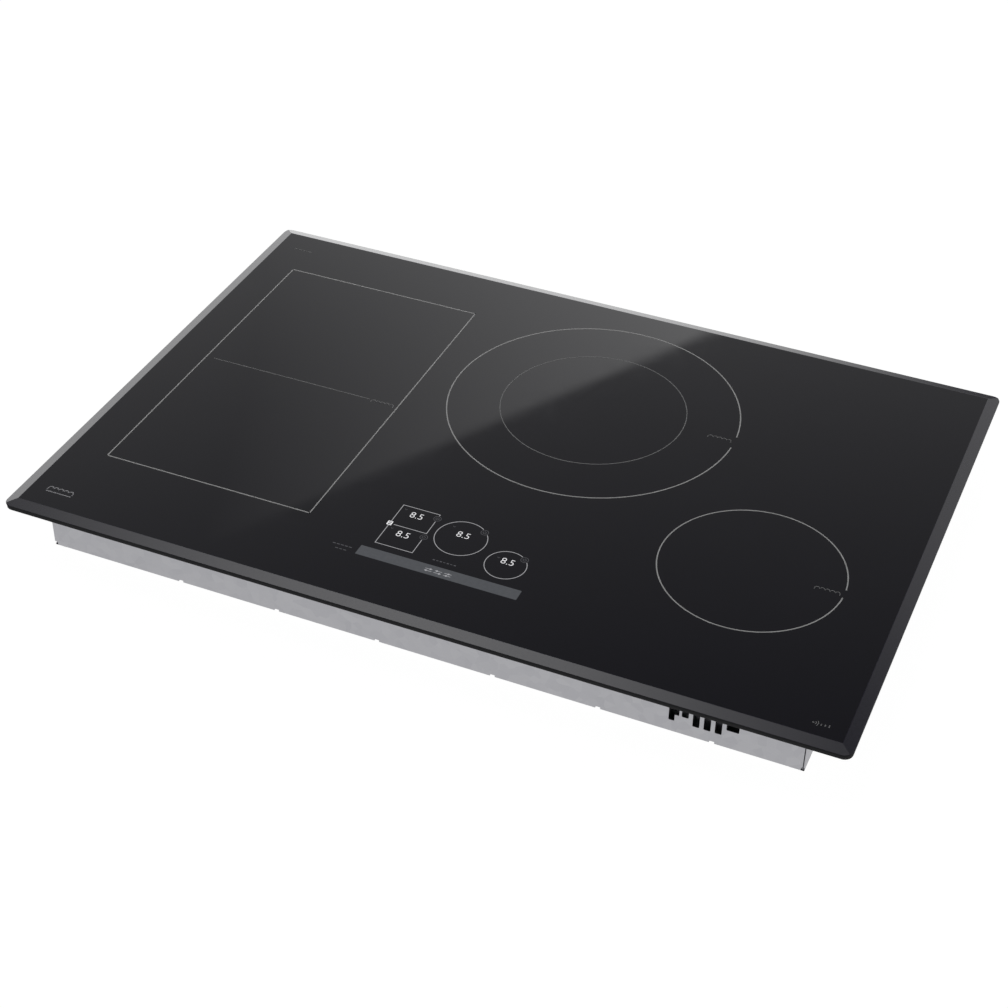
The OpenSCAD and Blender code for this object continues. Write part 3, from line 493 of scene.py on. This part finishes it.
# one finish for each of the record's material slots, so that every CAD node has the one it is made of
finishes = {
    "glass": glassCeramic,
    "printed_enamel": enamel,
    "zinc_steel": galvanised,
    # soft black strip with open-looking fine cells, drinks in the light
    "foam": plainFinish("closedCellFoam", "#0e0e10", "#17171a", (0.8, 0.95), mottle=8, grain=0.7, depth=0.12),
    # cured bead, smooth and rubbery
    "silicone": plainFinish(
        "blackSilicone", "#1c1c1e", "#262628", (0.4, 0.55), mottle=20, grain=1.5, depth=0.03),
    # foil with a satin sheen drawn out along its length
    "label_foil": plainFinish(
        "satinFoil", "#b6b7bc", "#c9cace", (0.28, 0.4), mottle=14, grain=0.5, depth=0.003, metal=1.0,
        stretch=(0.08, 1, 1)),
    # bright zinc plating, a little cloudy
    "screw_steel": plainFinish(
        "brightZinc", "#9fa1a6", "#bcbec3", (0.22, 0.36), mottle=3, grain=0.4, depth=0.006, metal=1.0),
    # yellow passivated zinc with a warm cast
    "yellow_zinc": plainFinish(
        "yellowZinc", "#9c8a55", "#c0ab6c", (0.28, 0.42), mottle=3, grain=0.4, depth=0.006, metal=1.0),
    # mill-finish sheet with its rolling lines
    "aluminium_sheet": plainFinish(
        "millAluminium", "#b9bbc0", "#cfd1d5", (0.3, 0.42), mottle=25, grain=0.5, depth=0.006, metal=1.0,
        stretch=(0.05, 1, 1)),
    # dull moulded rubber
    "silicone_red": plainFinish(
        "redSiliconeRubber", "#8a2c1d", "#a03825", (0.55, 0.7), mottle=6, grain=0.8, depth=0.02),
    # flecked with glass fibre
    "coil_former": plainFinish(
        "glassFilledPolyester", "#c6c0b0", "#dad4c6", (0.5, 0.64), mottle=9, grain=0.7, depth=0.02),
    # enamelled strands twisted into rope: slanted ridges 1.6 mm apart
    "litz_copper": stripedFinish(
        "twistedLitz", "#5e2c14", "#b8703f", (0.28, 0.45), 1.6, 0.25, turn=45, metal=0.8),
    # slate grey ceramic, ground flat
    "ferrite": plainFinish(
        "groundFerrite", "#2b2d31", "#3e4046", (0.42, 0.6), mottle=5, grain=0.5, depth=0.015),
    # overlapping golden flakes
    "mica": plainFinish(
        "pressedMica", "#9c7c50", "#cbad7e", (0.28, 0.5), mottle=5, grain=1.2, depth=0.02, coat=0.3),
    # combed white felt
    "ceramic_fibre": plainFinish(
        "ceramicFibreFelt", "#d4d0c5", "#f0ede5", (0.9, 1.0), mottle=7, grain=0.8, depth=0.15,
        stretch=(0.3, 1, 1)),
    # white glazed body with a soft shine
    "sensor_ceramic": plainFinish(
        "glazedSensorCeramic", "#dededa", "#eeeeea", (0.25, 0.35), mottle=6, grain=0.8, depth=0.004),
    "circuit_board": boardFinish(),
    # die lines along the fins
    "extruded_aluminium": plainFinish(
        "extrudedAluminium", "#a4a6ab", "#bfc1c6", (0.34, 0.46), mottle=10, grain=0.4, depth=0.01,
        metal=1.0, stretch=(1, 0.04, 1)),
    # matt, lightly spark-textured
    "epoxy_black": plainFinish(
        "mouldedEpoxy", "#18181a", "#242427", (0.45, 0.6), mottle=4, grain=0.4, depth=0.015),
    # cream boxed film, smooth from the mould
    "capacitor_case": plainFinish(
        "boxedCapacitor", "#cdc7b4", "#e0dac8", (0.3, 0.42), mottle=8, grain=0.8, depth=0.006),
    # turns of glossy wire
    "choke_winding": stripedFinish(
        "enamelledRingWinding", "#7a4413", "#d79544", (0.2, 0.35), 1.3, 0.3, turn=30, metal=0.6, coat=0.4),
    # milky, slightly waxy moulding
    "nylon_natural": plainFinish(
        "naturalNylon", "#d8d2c3", "#e9e4d8", (0.38, 0.5), mottle=9, grain=0.8, depth=0.008),
    # dark grey moulding, fine spark texture
    "duct_plastic": plainFinish(
        "glassFilledBlack", "#1b1c1f", "#28292d", (0.5, 0.62), mottle=14, grain=0.5, depth=0.02),
    # edges of thin iron plates
    "motor_stack": stripedFinish(
        "laminatedIron", "#4a4234", "#8c8068", (0.35, 0.5), 0.5, 0.08, direction="Z", metal=0.7),
    # grey moulding with a low sheen
    "impeller_plastic": plainFinish(
        "impellerNylon", "#3a3d42", "#4c5056", (0.36, 0.48), mottle=11, grain=0.6, depth=0.01),
    # glossy blue case
    "relay_case": plainFinish(
        "relayCaseBlue", "#1f3f66", "#2d5588", (0.28, 0.38), mottle=8, grain=0.7, depth=0.005, coat=0.2),
    # fine turning rings
    "brass_standoff": plainFinish(
        "turnedBrass", "#a88f4c", "#cdb569", (0.2, 0.32), mottle=2, grain=0.3, depth=0.008, metal=1.0,
        stretch=(1, 1, 6)),
    # black tray with a fine spark texture
    "control_plastic": plainFinish(
        "mouldedBlackTray", "#161719", "#212226", (0.5, 0.62), mottle=12, grain=0.5, depth=0.02),
    # pale block, near matt
    "led_white": plainFinish(
        "displayBlock", "#dcdcdc", "#ececec", (0.3, 0.42), mottle=5, grain=0.6, depth=0.004),
    # milky acrylic that spreads the light
    "light_guide": plainFinish(
        "opalAcrylic", "#e6e6e4", "#f3f3f1", (0.18, 0.3), mottle=16, grain=1.0, depth=0.002, coat=0.3),
    # dark film, glossy enough to mirror
    "smoked_film": plainFinish(
        "smokedFilm", "#26272c", "#303138", (0.12, 0.2), mottle=20, grain=0.8, depth=0.001, coat=0.5),
    # tin plate, bright and faintly clouded
    "shield_can": plainFinish(
        "tinnedCan", "#b2b3b8", "#cacbd0", (0.2, 0.32), mottle=5, grain=0.5, depth=0.006, metal=1.0),
    # wires side by side, 1.27 mm apart
    "ribbon_grey": stripedFinish("greyRibbonCable", "#9fa0a6", "#d5d6db", (0.4, 0.5), 1.27, 0.15),
    # braid over silicone
    "sleeved_lead": stripedFinish("braidedRedSleeve", "#6e1a12", "#b23a2e", (0.5, 0.65), 0.9, 0.12, turn=45),
}
for row in frame["record"]["subparts"]:
    node = frame["nodes"][row["node"]]
    node.data.materials.clear()
    node.data.materials.append(finishes[row["material_slot"]])
print("finishes made:", len(finishes))

glassSettings = {
    "corner": 8.5, "cornerSegments": 14, "bevelWidth": 10.6, "bevelDrop": 2.8, "arris": 0.22,
    "level": 3.2,    # an edge that climbs less than this runs along the rim
    "rimAngle": 12, "crestAngle": 8,    # the least angle, in degrees, that is rounded there
}
glassLow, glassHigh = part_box("glass_top")


def makeGlass(s):
    size = glassHigh - glassLow
    centre = (glassHigh + glassLow) / 2
    bm = bmesh.new()
    bmesh.ops.create_cube(bm, size=1)
    placeAll(bm, Matrix.Translation(centre) @ Matrix.Diagonal((*size, 1)))
    upright = [e for e in bm.edges if abs(e.verts[0].co.z - e.verts[1].co.z) > mm]
    bmesh.ops.bevel(
        bm, geom=upright, offset=s["corner"] * mm, affect="EDGES", segments=s["cornerSegments"],
        profile=0.5, material=-1)
    slope = math.atan2(s["bevelDrop"], s["bevelWidth"])
    for axis, sign in ((0, 1), (0, -1), (1, 1), (1, -1)):    # four slanting cuts make the ground bevel
        normal = Vector((0, 0, math.cos(slope)))
        normal[axis] = sign * math.sin(slope)
        point = Vector((0, 0, glassHigh.z))
        point[axis] = sign * (size[axis] / 2 - s["bevelWidth"] * mm)
        everything = bm.verts[:] + bm.edges[:] + bm.faces[:]
        sliced = bmesh.ops.bisect_plane(
            bm, geom=everything, dist=1e-7, plane_co=point, plane_no=normal, clear_outer=True)
        edges = [g for g in sliced["geom_cut"] if isinstance(g, bmesh.types.BMEdge)]
        bmesh.ops.contextual_create(bm, geom=edges)
    bmesh.ops.recalc_face_normals(bm, faces=bm.faces)

    def onTop(edge):
        return all(abs(v.co.z - glassHigh.z) < 1e-6 for v in edge.verts)

    rims = []
    for edge in bm.edges:
        climb = abs(edge.verts[0].co.z - edge.verts[1].co.z)
        if len(edge.link_faces) == 2 and not onTop(edge) and climb < s["level"] * mm:
            one, other = (face.normal.z for face in edge.link_faces)
            if edge.calc_face_angle(0) > math.radians(s["rimAngle"]) and abs(one - other) > 0.2:
                rims.append(edge)
    narrow = {"offset": s["arris"] * mm, "affect": "EDGES", "segments": 3, "profile": 0.5, "material": -1}
    bmesh.ops.bevel(bm, geom=rims, **narrow)
    crestAngle = math.radians(s["crestAngle"])
    crest = [e for e in bm.edges if onTop(e) and e.calc_face_angle(0) > crestAngle]
    bmesh.ops.bevel(bm, geom=crest, **narrow)
    for face in bm.faces:    # the flats are fire polished, the slopes are ground and the rim is only seamed
        face.material_index = 0 if abs(face.normal.z) > 0.999 else 1 if face.normal.z > 0.8 else 2
    finishPiece(
        "glassPlate", bm, [glassCeramic, groundEdge, seamedEdge], replaced=["glass_top"],
        smoothAngle=28)


makeGlass(glassSettings)
print("glass plate made")

# printed and lit marks are thin closed solids, a hair proud of the glass
printTop, printBase = glassHigh.z + 0.05 * mm, glassHigh.z - 0.03 * mm


def bar(bm, start, end, width):
    a, b = Vector((*start, 0)), Vector((*end, 0))
    run = b - a
    made = bmesh.ops.create_cube(bm, size=1)["verts"]
    turn = Matrix.Rotation(math.atan2(run.y, run.x), 4, "Z")
    middle = (a + b) / 2 * mm
    middle.z = (printTop + printBase) / 2
    size = Matrix.Diagonal((run.length * mm, width * mm, printTop - printBase, 1))
    bmesh.ops.transform(bm, matrix=Matrix.Translation(middle) @ turn @ size, verts=made)


def arc(bm, centre, radius, width, first=0.0, last=360.0, stretch=1.0):
    # a flat band on a circle from one angle to another, in degrees anticlockwise from +X
    whole = abs(last - first) > 359.9
    steps = max(6, int(abs(last - first) / 360 * max(24, min(180, radius * 3))))
    inner, outer = (radius - width / 2) * mm, (radius + width / 2) * mm
    section = ((inner, 0, printBase), (outer, 0, printBase), (outer, 0, printTop), (inner, 0, printTop))
    earlier = set(bm.verts)
    corners = [bm.verts.new(p) for p in section]
    face = bm.faces.new(corners)
    bmesh.ops.rotate(bm, verts=corners, cent=(0, 0, 0), matrix=Matrix.Rotation(math.radians(first), 3, "Z"))
    bmesh.ops.spin(
        bm, geom=[face] + list(face.edges) + corners, cent=(0, 0, 0), axis=(0, 0, 1), dvec=(0, 0, 0),
        angle=math.radians(last - first), steps=steps, use_merge=whole,
        use_normal_flip=False, use_duplicate=False)
    made = [v for v in bm.verts if v not in earlier]
    if whole:    # a full turn leaves the section it started from inside the ring
        bmesh.ops.remove_doubles(bm, verts=made, dist=1e-7)
        made = [v for v in bm.verts if v not in earlier]
        fresh, start = set(made), math.radians(first)
        inside = []
        for face in bm.faces:
            angles = [math.atan2(v.co.y, v.co.x) for v in face.verts]
            if face.verts[0] in fresh and all(abs(angle - start) < 1e-3 for angle in angles):
                inside.append(face)
        bmesh.ops.delete(bm, geom=inside, context="FACES_ONLY")
    place = Matrix.Translation((centre[0] * mm, centre[1] * mm, 0)) @ Matrix.Diagonal((1, stretch, 1, 1))
    bmesh.ops.transform(bm, matrix=place, verts=[v for v in bm.verts if v not in earlier])


def disc(bm, centre, radius, segments=20):
    made = bmesh.ops.create_cone(
        bm, cap_ends=True, segments=segments, radius1=radius * mm, radius2=radius * mm,
        depth=printTop - printBase)["verts"]
    bmesh.ops.translate(bm, verts=made, vec=(centre[0] * mm, centre[1] * mm, (printTop + printBase) / 2))


def path(bm, points, width, closed=False):
    pairs = list(zip(points, points[1:] + points[:1] if closed else points[1:]))
    for a, b in pairs:
        run = Vector(b) - Vector(a)
        if run.length > 0:
            reach = run.normalized() * width / 2
            bar(bm, Vector(a) - reach, Vector(b) + reach, width)


def printMarks(name, bm, material):
    bmesh.ops.recalc_face_normals(bm, faces=bm.faces)
    finishPiece(name, bm, [material])


coilSettings = {"loops": 5, "stretch": 1.35, "legTop": 0.2, "legFoot": -1.4}


def coilSign(bm, x, y, width, line, s=coilSettings):
    # plain induction sign: a row of half loops with a leg at each end
    r = width / s["loops"] / 2
    for i in range(s["loops"]):
        arc(bm, (x + (2 * i + 1) * r, y), r, line, 0, 180, stretch=s["stretch"])
    for end in (x, x + width):
        bar(bm, (end, y + s["legTop"]), (end, y + s["legFoot"]), line)


zoneSettings = {
    "line": 1.15, "thin": 0.8,
    "bridge": (-342.2, -132.8, -170.1, 191.2), "divider": (10.6, -333.9, -162.8),
    "rings": [((38.2, 84.5), 140.1, 1.15, (-2.5, 4.6)), ((250.2, -83.1), 82.2, 1.15, (-3.8, 3.8))],
    "innerRing": ((38.2, 84.5), 89.2, 0.85),
    "signs": [(-160.5, 8.0, 23.4), (152.5, 87.0, 22.5), (306.5, -85.5, 22.5)], "signLine": 0.55,
}


def makeZoneMarks(s):
    bm = bmesh.new()
    left, right, front, back = s["bridge"]
    path(bm, [(left, front), (right, front), (right, back), (left, back)], s["line"], closed=True)
    for centre, radius, line, gap in s["rings"]:
        arc(bm, centre, radius, line, gap[1], 360 + gap[0])
    printMarks("zoneOutlines", bm, enamel)
    bm = bmesh.new()
    y, first, last = s["divider"]
    bar(bm, (first, y), (last, y), s["thin"])
    arc(bm, s["innerRing"][0], s["innerRing"][1], s["innerRing"][2])
    for x, y, width in s["signs"]:
        coilSign(bm, x, y, width, s["signLine"])
    printMarks("zoneSigns", bm, dimEnamel)


makeZoneMarks(zoneSettings)

cornerSettings = {
    "coil": (-364.0, -234.5, 26.0), "coilLine": 0.9, "baseDrop": 3.4, "baseLine": 1.1,
    "waves": (352.2, -244.2), "dot": 0.8, "waveRadii": (2.4, 4.2), "waveLine": 0.6, "waveAngle": 42,
    "steps": 3, "firstStep": 6.6, "stepPitch": 3.2, "stepFoot": -1.3, "stepRise": 0.6, "stepLine": 0.9,
    "dashes": (-362.0, 230.0), "dashCount": 4, "dashPitch": 5.6, "dashLength": 4.0, "dashLine": 1.4,
}


def makeCornerMarks(s):
    # plain signs: an induction coil over a long base line, some dashes, radio waves beside three rising bars
    bm = bmesh.new()
    x, y, width = s["coil"]
    coilSign(bm, x, y, width, s["coilLine"])
    bar(bm, (x, y - s["baseDrop"]), (x + width, y - s["baseDrop"]), s["baseLine"])
    printMarks("coilMark", bm, enamelMark)
    bm = bmesh.new()
    x, y = s["waves"]
    disc(bm, (x, y), s["dot"], 14)
    for radius in s["waveRadii"]:
        arc(bm, (x, y), radius, s["waveLine"], -s["waveAngle"], s["waveAngle"])
    for i in range(s["steps"]):
        across = x + s["firstStep"] + i * s["stepPitch"]
        bar(bm, (across, y + s["stepFoot"]), (across, y + s["stepRise"] * (i + 1)), s["stepLine"])
    printMarks("wavesMark", bm, dimEnamel)
    bm = bmesh.new()
    x, y = s["dashes"]
    for i in range(s["dashCount"]):
        start = x + i * s["dashPitch"]
        bar(bm, (start, y), (start + s["dashLength"], y), s["dashLine"])
    printMarks("dashesMark", bm, faintEnamel)


makeCornerMarks(cornerSettings)

panelSettings = {
    "squares": (-61.6, -25.7, -125.3, -154.3, -183.4),    # left, right, back, middle, front
    "line": 0.62,
    "bridgeIcon": (-61.7, -153.7, 4.6), "bridgeLine": 1.0,
    "power": [(-25.7, -131.3), (-25.7, -159.9), (20.4, -132.1), (67.1, -152.6)], "powerRadius": 3.4,
    "circles": [((4.6, -148.0), 23.6), ((54.7, -165.6), 18.6)],
    "digits": [(-44.2, -135.0), (-43.9, -164.0), (4.7, -142.9), (54.7, -160.7)],
    "figures": "8.5", "figureSize": (11.9, 7.7),
    "ticks": [(-56.7, -130.4), (-56.7, -159.6), (-7.5, -135.3), (45.1, -158.6)], "iconLine": 0.45,
    "dashRows": [    # start, pitch, length, count, and the two widths that take turns
        ((-5.6, -184.3), 3.3, 2.0, 7, (1.2, 0.7)),
        ((-95, -198.6), 3.9, 2.8, 5, (0.9, 0.9)),
        ((-90, -203.9), 3.9, 2.8, 3, (0.8, 0.8)),
    ],
    "bar": (-70.6, 81.0, -204.5, -191.7), "barCorner": 0.8, "aboveBar": 0.02,
    "sliders": [(-3.2, 1.6), (5.7, -1.6), (14.6, 0.6)],    # middle, and how far its knob is off it
    "sliderRows": [(-197.2, 0.9), (-199.9, -1.1)], "sliderReach": 3.4, "sliderLine": 0.55, "sliderKnob": 1.05,
    "padlock": (-41.7, -197.9), "clock": (70.4, -197.9), "barIconLine": 0.4,
}


def makeNumber(bm, text, x, y, width, height):
    # the built-in typeface, made a mesh and fitted to the size of the display's figures
    curve = bpy.data.curves.new("figures", "FONT")
    curve.body, curve.size, curve.resolution_u, curve.extrude = text, 1.0, 4, 0.5
    curve.offset = -0.012    # a little thinner than the typeface
    shown = bpy.data.objects.new("figures", curve)
    scene.collection.objects.link(shown)
    mesh = bpy.data.meshes.new_from_object(shown.evaluated_get(bpy.context.evaluated_depsgraph_get()))
    bpy.data.objects.remove(shown)
    earlier = set(bm.verts)
    bm.from_mesh(mesh)
    bpy.data.meshes.remove(mesh)
    bmesh.ops.remove_doubles(bm, verts=[v for v in bm.verts if v not in earlier], dist=1e-5)
    made = [v for v in bm.verts if v not in earlier]
    low = Vector([min(v.co[i] for v in made) for i in range(3)])
    high = Vector([max(v.co[i] for v in made) for i in range(3)])
    span = high - low
    fit = Matrix.Diagonal((width * mm / span.x, height * mm / span.y, (printTop - printBase) / span.z, 1))
    home = Matrix.Translation((x * mm, y * mm, (printTop + printBase) / 2))
    bmesh.ops.transform(bm, matrix=home @ fit @ Matrix.Translation(-(low + high) / 2), verts=made)


def makeOutlines(s):
    left, right, back, middle, front = s["squares"]
    upper, lower = s["power"][0][1], s["power"][1][1]
    line = s["line"]
    gap = s["powerRadius"] + 1.0
    bm = bmesh.new()
    # the two linked squares, cut where the power signs sit
    path(bm, [(left, back), (left, front), (right, front), (right, lower - gap)], line)
    bar(bm, (right, lower + gap + 1), (right, upper - gap), line)
    path(bm, [(left, back), (right, back), (right, upper + gap)], line)
    bar(bm, (left + 4, middle), (right, middle), line)
    for (centre, radius), knob in zip(s["circles"], s["power"][2:]):
        towardsKnob = math.degrees(math.atan2(knob[1] - centre[1], knob[0] - centre[0]))
        half = math.degrees(gap / radius)
        arc(bm, centre, radius, line, towardsKnob + half, towardsKnob - half + 360)
    printMarks("controlOutlines", bm, litLine)


def makeDigits(s):
    bm = bmesh.new()
    x, y, size = s["bridgeIcon"]
    line = s["bridgeLine"]
    reach = (size - line) / 2
    for k in (-1, 1):    # two facing brackets on a bar: the sign for linked zones
        near, away = y + k * 0.55, y + k * size / 2
        path(bm, [(x - reach, near), (x - reach, away), (x + reach, away), (x + reach, near)], line)
    bar(bm, (x - size / 2, y), (x + size / 2, y), line)
    for x, y in s["digits"]:
        makeNumber(bm, s["figures"], x, y, *s["figureSize"])
    printMarks("litDigits", bm, litWhite)


def makeIcons(s):
    bm = bmesh.new()
    line = s["iconLine"]
    for x, y in s["power"]:
        arc(bm, (x, y), s["powerRadius"], line)
        arc(bm, (x, y), 1.5, line, 130, 410)
        bar(bm, (x, y + 0.3), (x, y + 2.0), line)
    for x, y in s["ticks"]:
        path(bm, [(x - 1.0, y + 0.5), (x, y - 0.5), (x + 1.0, y + 0.5)], line)
    for (x, y), pitch, length, count, widths in s["dashRows"]:
        for i in range(count):
            bar(bm, (x + i * pitch, y), (x + i * pitch + length, y), widths[i % 2])
    printMarks("touchIcons", bm, litDim)


def makeBar(s):
    x0, x1, y0, y1 = s["bar"]
    bm = bmesh.new()
    bar(bm, (x0, (y0 + y1) / 2), (x1, (y0 + y1) / 2), y1 - y0)
    upright = [e for e in bm.edges if abs(e.verts[0].co.z - e.verts[1].co.z) > 0.04 * mm]
    bmesh.ops.bevel(
        bm, geom=upright, offset=s["barCorner"] * mm, affect="EDGES", segments=4, profile=0.5, material=-1)
    finishPiece("settingsBar", bm, [litBar])

    # slider sign in the middle of the bar
    lift = Matrix.Translation((0, 0, s["aboveBar"] * mm))
    reach = s["sliderReach"]
    bm = bmesh.new()
    for x, knob in s["sliders"]:
        for y, side in s["sliderRows"]:
            bar(bm, (x - reach, y), (x + reach, y), s["sliderLine"])
            disc(bm, (x + knob * side, y), s["sliderKnob"], 16)
    placeAll(bm, lift)
    printMarks("settingsSign", bm, barMark)

    # a padlock and a clock at its ends
    line = s["barIconLine"]
    bm = bmesh.new()
    x, y = s["padlock"]
    body = [(x - 1.4, y - 1.4), (x + 1.4, y - 1.4), (x + 1.4, y + 0.4), (x - 1.4, y + 0.4)]
    path(bm, body, line, closed=True)
    arc(bm, (x, y + 0.4), 1.0, line, 0, 180)
    x, y = s["clock"]
    arc(bm, (x, y), 1.9, line)
    path(bm, [(x, y + 1.2), (x, y), (x + 0.9, y)], line)
    placeAll(bm, lift)
    printMarks("barIcons", bm, litDim)


for makePart in (makeOutlines, makeDigits, makeIcons, makeBar):
    makePart(panelSettings)
print("marks printed")

# copies of the CAD's sheet, moulded and wound parts with softer edges
softened = {    # node: piece, width in mm of the rounding
    "rim_seal": ("foamSeal", 0.6), "burner_box": ("burnerBox", 0.2), "support_frame": ("supportFrame", 0.2),
    "conduit_plate": ("conduitPlate", 0.3),
    "coil_tray": ("coilTray", 0.25), "control_tray": ("controlTray", 0.35),
    "blower_housing_left": ("blowerHousingLeft", 0.4), "blower_housing_right": ("blowerHousingRight", 0.4),
    "blower_lid_left": ("blowerLidLeft", 0.3), "blower_lid_right": ("blowerLidRight", 0.3),
    "impeller_left": ("impellerLeft", 0.2), "impeller_right": ("impellerRight", 0.2),
    "winding_left_rear": ("windingLeftRear", 1.2), "winding_left_front": ("windingLeftFront", 1.2),
    "winding_centre_outer": ("windingCentreOuter", 1.2), "winding_centre_inner": ("windingCentreInner", 1.2),
    "winding_right": ("windingRight", 1.2),
}
reliefReach = 7    # mm around each lower corner of the box
slotOf = {row["node"]: row["material_slot"] for row in frame["record"]["subparts"]}


def softenedCopy(node, name, width):
    source = frame["nodes"][node]
    bm = bmesh.new()
    bm.from_mesh(source.data)
    bmesh.ops.remove_doubles(bm, verts=bm.verts, dist=0.002 * mm)
    bmesh.ops.dissolve_limit(
        bm, angle_limit=math.radians(0.4), verts=bm.verts, edges=bm.edges, delimit={"NORMAL"})
    sharp = [e for e in bm.edges if len(e.link_faces) == 2 and e.calc_face_angle(0) > math.radians(35)]
    if node == "burner_box":    # the small relief holes at its lower corners keep their cut edges
        low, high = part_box(node)
        corners = [Vector((x, y, low.z)) for x in (low.x, high.x) for y in (low.y, high.y)]
        reach = reliefReach * mm
        sharp = [e for e in sharp if all((v.co - c).length > reach for v in e.verts for c in corners)]
    bmesh.ops.bevel(
        bm, geom=sharp, offset=width * mm, offset_type="OFFSET", affect="EDGES", segments=2, profile=0.5,
        material=-1)
    slot = slotOf[node]
    finishPiece(name, bm, [finishes[slot]], body=source["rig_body"], replaced=[node])


for node, (name, width) in softened.items():
    softenedCopy(node, name, width)
print("edges softened")

screwSettings = {
    "sideX": 352.0, "sideY": (-180, 0, 170), "backY": 238.8, "backX": (-280, -20, 240), "z": 35.2,
    "washer": 3.6, "washerTaper": 0.25, "washerHeight": 0.6, "hex": 2.9, "hexTaper": 0.97, "height": 1.8,
    "sunk": 0.1, "lip": 0.45, "dishSlope": 0.5, "dishDepth": 0.35,
    "turn": 0.7,    # radians from each screw to the next, as they stop where they are tight
}


def makeScrews(s):
    # hex washer-head sheet-metal screws, with the usual dished head
    one = bmesh.new()
    low, high = s["washerHeight"], s["height"]
    bmesh.ops.create_cone(
        one, cap_ends=True, segments=32, radius1=s["washer"] * mm,
        radius2=(s["washer"] - s["washerTaper"]) * mm, depth=low * mm,
        matrix=Matrix.Translation((0, 0, low / 2 * mm)))
    tall = high - low + s["sunk"]
    head = bmesh.ops.create_cone(
        one, cap_ends=True, segments=6, radius1=s["hex"] * mm, radius2=s["hex"] * s["hexTaper"] * mm,
        depth=tall * mm, matrix=Matrix.Translation((0, 0, (high - tall / 2) * mm)))["verts"]
    top = max((f for v in head for f in v.link_faces), key=lambda f: f.calc_center_median().z)
    bmesh.ops.inset_region(one, faces=[top], thickness=s["lip"] * mm, depth=0.0)
    bmesh.ops.inset_region(one, faces=[top], thickness=s["dishSlope"] * mm, depth=-s["dishDepth"] * mm)
    mesh = bpy.data.meshes.new("screw")
    one.to_mesh(mesh)
    one.free()
    z = s["z"] * mm
    places = []
    for sign in (-1, 1):
        sideways = Matrix.Rotation(math.radians(90 * sign), 4, "Y")
        places += [Matrix.Translation((sign * s["sideX"] * mm, y * mm, z)) @ sideways for y in s["sideY"]]
    backwards = Matrix.Rotation(math.radians(-90), 4, "X")
    places += [Matrix.Translation((x * mm, s["backY"] * mm, z)) @ backwards for x in s["backX"]]
    bm = bmesh.new()
    for i, place in enumerate(places):
        earlier = set(bm.verts)
        bm.from_mesh(mesh)
        made = [v for v in bm.verts if v not in earlier]
        bmesh.ops.transform(bm, matrix=place @ Matrix.Rotation(i * s["turn"], 4, "Z"), verts=made)
    bpy.data.meshes.remove(mesh)
    finishPiece(
        "boxScrews", bm, [finishes["screw_steel"]], replaced=["box_screws"], smoothAngle=25)


makeScrews(screwSettings)
print("screws made")

print("pieces ready")
